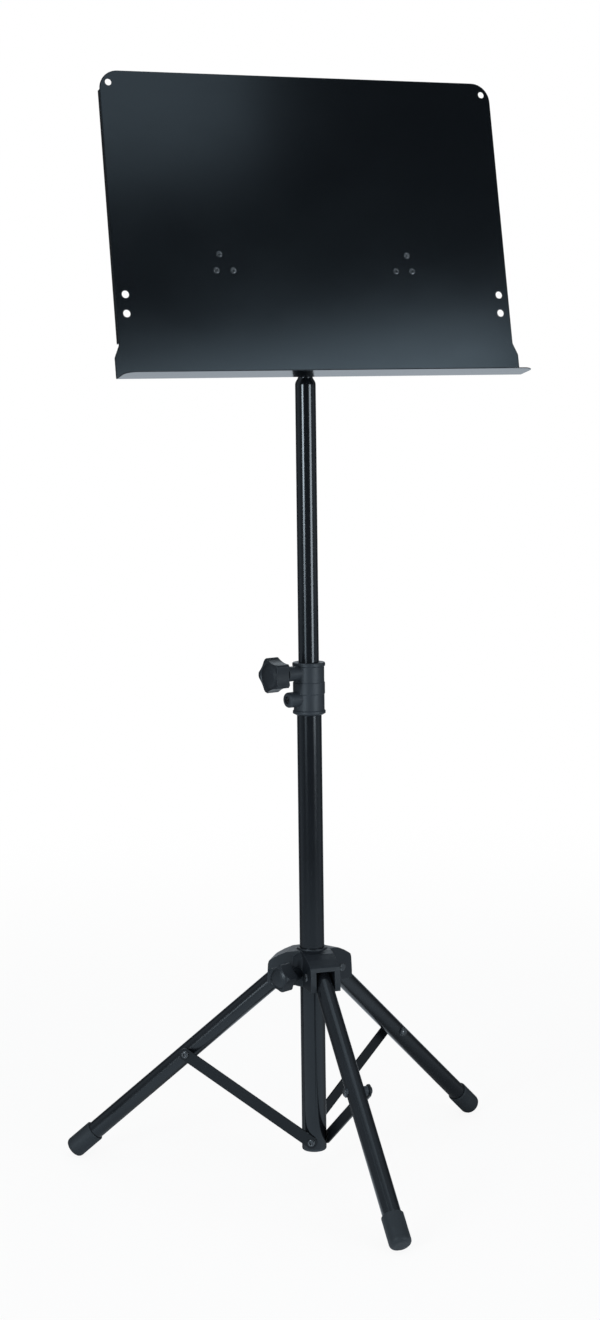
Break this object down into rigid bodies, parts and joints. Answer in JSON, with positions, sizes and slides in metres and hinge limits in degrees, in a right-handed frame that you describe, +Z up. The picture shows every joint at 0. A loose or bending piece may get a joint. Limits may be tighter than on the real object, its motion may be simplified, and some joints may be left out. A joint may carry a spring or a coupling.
{
  "type": "music stand",
  "caption": "Orchestra music stand with a folded sheet desk on a telescopic pole, a clamping collar with a star knob, and a folding three-leg base on a sliding hub.",
  "frame": {"origin": "point on the floor under the pole, on the pole's axis", "axes": "+Z up along the pole; the desk faces -Y, towards the player; +X to the player's right"},
  "size_m": [0.5464, 0.494, 1.3216],
  "materials": {
    "desk_steel": "satin black powder coat with a fine texture",
    "bracket_steel": "satin black powder coat",
    "rivet_steel": "black coated rivet with a rolled, hollow end",
    "tube_gloss": "gloss black paint on round tube",
    "leg_gloss": "gloss black paint on round tube",
    "strut_steel": "semi-gloss black paint on flat bar",
    "moulded_plastic": "dark grey moulded nylon with a fine texture",
    "knob_plastic": "dark grey moulded knob with a fine texture",
    "foot_rubber": "matte black rubber",
    "black_screw": "black oxide steel",
    "zinc_bolt": "zinc plated steel",
    "brass_thread": "turned brass",
    "spring_steel": "bare spring steel",
    "fibre": "pressed red-brown fibre",
    "guide_nylon": "natural nylon",
    "end_plug_steel": "turned steel"
  },
  "bodies": {
    "stand": {"lower_tube": "tube_gloss", "base_rivets": "rivet_steel", "pole_end_cap": "moulded_plastic", "collar": "moulded_plastic", "collar_screw": "black_screw", "collar_insert": "brass_thread"},
    "slider": {"guide_bush": "guide_nylon"},
    "mast": {"upper_tube": "tube_gloss", "tilt_tee": "tube_gloss", "tee_pin": "spring_steel", "tee_end_plugs": "end_plug_steel", "friction_washers": "fibre", "spring_washers": "spring_steel", "tilt_bolts": "black_screw"},
    "desk": {"desk_plate": "desk_steel", "desk_rivets": "rivet_steel", "bracket_left": "bracket_steel", "bracket_right": "bracket_steel"},
    "collar_pad_body": {"collar_pad": "guide_nylon"},
    "collar_knob_body": {"collar_knob": "knob_plastic", "collar_knob_bolt": "zinc_bolt"},
    "leg_hub": {"hub": "moulded_plastic", "leg_pins": "rivet_steel", "hub_insert": "brass_thread"},
    "hub_pad_body": {"hub_pad": "guide_nylon"},
    "hub_knob_body": {"hub_knob": "knob_plastic", "hub_knob_bolt": "zinc_bolt"},
    "right_leg": {"leg_right": "leg_gloss", "foot_cap_right": "foot_rubber", "leg_rivet_right": "rivet_steel", "strut_spacers_right": "moulded_plastic"},
    "right_strut": {"strut_right": "strut_steel", "strut_rivet_right": "rivet_steel"},
    "left_leg": {"leg_left": "leg_gloss", "foot_cap_left": "foot_rubber", "leg_rivet_left": "rivet_steel", "strut_spacers_left": "moulded_plastic"},
    "left_strut": {"strut_left": "strut_steel", "strut_rivet_left": "rivet_steel"},
    "front_leg": {"leg_front": "leg_gloss", "foot_cap_front": "foot_rubber", "leg_rivet_front": "rivet_steel", "strut_spacers_front": "moulded_plastic"},
    "front_strut": {"strut_front": "strut_steel", "strut_rivet_front": "rivet_steel"}
  },
  "joints": [
    {"name": "height_slide", "type": "slide", "parent": "stand", "child": "slider", "axis": [0, 0, 1], "range_m": [-0.3, 0.165]},
    {"name": "desk_swivel", "type": "hinge", "parent": "slider", "child": "mast", "pos_m": [0, 0, 0.6], "axis": [0, 0, 1], "continuous": true},
    {"name": "desk_tilt", "type": "hinge", "parent": "mast", "child": "desk", "pos_m": [0, 0, 1.09094], "axis": [-1, 0, 0], "range_deg": [-11, 79]},
    {"name": "collar_pad_slide", "type": "slide", "parent": "stand", "child": "collar_pad_body", "axis": [-0.9613, -0.2756, 0], "range_m": [0, 0.00187]},
    {"name": "collar_knob_turn", "type": "hinge", "parent": "collar_pad_body", "child": "collar_knob_body", "pos_m": [-0.03364, -0.00965, 0.6083], "axis": [-0.9613, -0.2756, 0], "range_deg": [0, 541]},
    {"name": "hub_lift", "type": "slide", "parent": "stand", "child": "leg_hub", "axis": [0, 0, 1], "range_m": [0, 0.13828]},
    {"name": "hub_pad_slide", "type": "slide", "parent": "leg_hub", "child": "hub_pad_body", "axis": [-0.8973, -0.4415, 0], "range_m": [0, 0.00187]},
    {"name": "hub_knob_turn", "type": "hinge", "parent": "hub_pad_body", "child": "hub_knob_body", "pos_m": [-0.0332, -0.01634, 0.2455], "axis": [-0.8973, -0.4415, 0], "range_deg": [0, 541]},
    {"name": "right_leg_fold", "type": "hinge", "parent": "leg_hub", "child": "right_leg", "pos_m": [0.03051, 0.01501, 0.2445], "axis": [-0.4415, 0.8973, 0], "range_deg": [0, 48.99]},
    {"name": "right_strut_fold", "type": "hinge", "parent": "right_leg", "child": "right_strut", "pos_m": [0.14066, 0.06921, 0.13774], "axis": [-0.4415, 0.8973, 0], "range_deg": [-95.69, 0]},
    {"name": "left_leg_fold", "type": "hinge", "parent": "leg_hub", "child": "left_leg", "pos_m": [-0.02825, 0.01891, 0.2445], "axis": [-0.5563, -0.831, 0], "range_deg": [0, 48.99]},
    {"name": "left_strut_fold", "type": "hinge", "parent": "left_leg", "child": "left_strut", "pos_m": [-0.13028, 0.08721, 0.13774], "axis": [-0.5563, -0.831, 0], "range_deg": [-95.69, 0]},
    {"name": "front_leg_fold", "type": "hinge", "parent": "leg_hub", "child": "front_leg", "pos_m": [-0.00225, -0.03392, 0.2445], "axis": [0.9978, -0.0663, 0], "range_deg": [0, 48.99]},
    {"name": "front_strut_fold", "type": "hinge", "parent": "front_leg", "child": "front_strut", "pos_m": [-0.01039, -0.15643, 0.13774], "axis": [0.9978, -0.0663, 0], "range_deg": [-95.69, 0]}
  ],
  "couplings": [
    {"joint": "collar_knob_turn", "follows": "collar_pad_slide", "rad_per_m": 5026.5},
    {"joint": "hub_knob_turn", "follows": "hub_pad_slide", "rad_per_m": 5026.5},
    {"joint": "right_leg_fold", "follows": "hub_lift", "rad_per_m": 6.1831},
    {"joint": "right_strut_fold", "follows": "hub_lift", "rad_per_m": -12.077},
    {"joint": "left_leg_fold", "follows": "hub_lift", "rad_per_m": 6.1831},
    {"joint": "left_strut_fold", "follows": "hub_lift", "rad_per_m": -12.077},
    {"joint": "front_leg_fold", "follows": "hub_lift", "rad_per_m": 6.1831},
    {"joint": "front_strut_fold", "follows": "hub_lift", "rad_per_m": -12.077}
  ]
}
